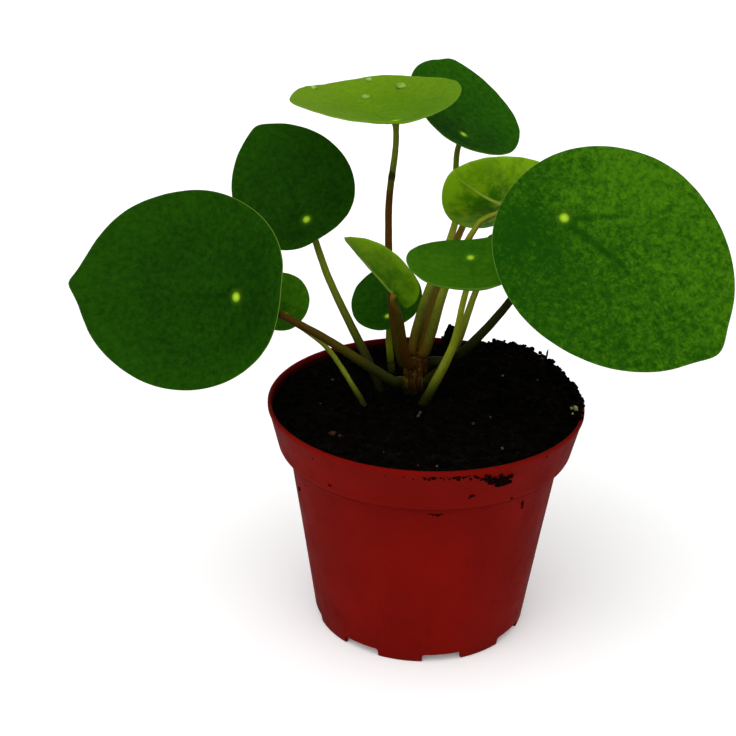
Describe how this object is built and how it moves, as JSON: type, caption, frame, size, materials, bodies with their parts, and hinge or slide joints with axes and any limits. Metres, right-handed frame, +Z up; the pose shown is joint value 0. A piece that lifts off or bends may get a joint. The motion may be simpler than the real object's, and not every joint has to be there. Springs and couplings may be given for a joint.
{
  "type": "potted chinese money plant",
  "caption": "Young Pilea plant with round, coin-like leaves on thin stalks, growing from a short stem in dark potting soil in a small tapered red plastic nursery pot.",
  "frame": {"origin": "middle of the pot's underside, on the surface that the pot stands on", "axes": "+Z up along the pot's axis; -Y is the front that the plant is seen from, and +X is to the right"},
  "size_m": [0.1733, 0.1253, 0.1511],
  "materials": {
    "red_plastic": "satin, lightly soiled",
    "peat": "rough, damp",
    "stem_bark": "rough",
    "dark_blade": "semi-gloss, finely veined",
    "mid_blade": "semi-gloss, finely veined",
    "light_blade": "semi-gloss, finely veined",
    "olive_stalk": "satin",
    "light_stalk": "satin",
    "russet_stalk": "satin"
  },
  "bodies": {
    "root": {"pot": "red_plastic", "soil": "peat", "stem": "stem_bark", "blade_front_left": "dark_blade", "stalk_front_left": "olive_stalk", "blade_upper_left": "dark_blade", "stalk_upper_left": "olive_stalk", "blade_low_left": "mid_blade", "stalk_low_left": "light_stalk", "blade_top": "light_blade", "stalk_top": "russet_stalk", "blade_top_right": "dark_blade", "stalk_top_right": "olive_stalk", "blade_back_right": "light_blade", "stalk_back_right": "olive_stalk", "blade_centre": "light_blade", "stalk_centre": "russet_stalk", "blade_low_centre": "dark_blade", "stalk_low_centre": "light_stalk", "blade_centre_right": "mid_blade", "stalk_centre_right": "light_stalk", "blade_front_right": "mid_blade", "stalk_front_right": "olive_stalk", "blade_right_young": "dark_blade", "stalk_right_young": "olive_stalk", "blade_back_young": "mid_blade", "stalk_back_young": "russet_stalk"}
  },
  "joints": []
}
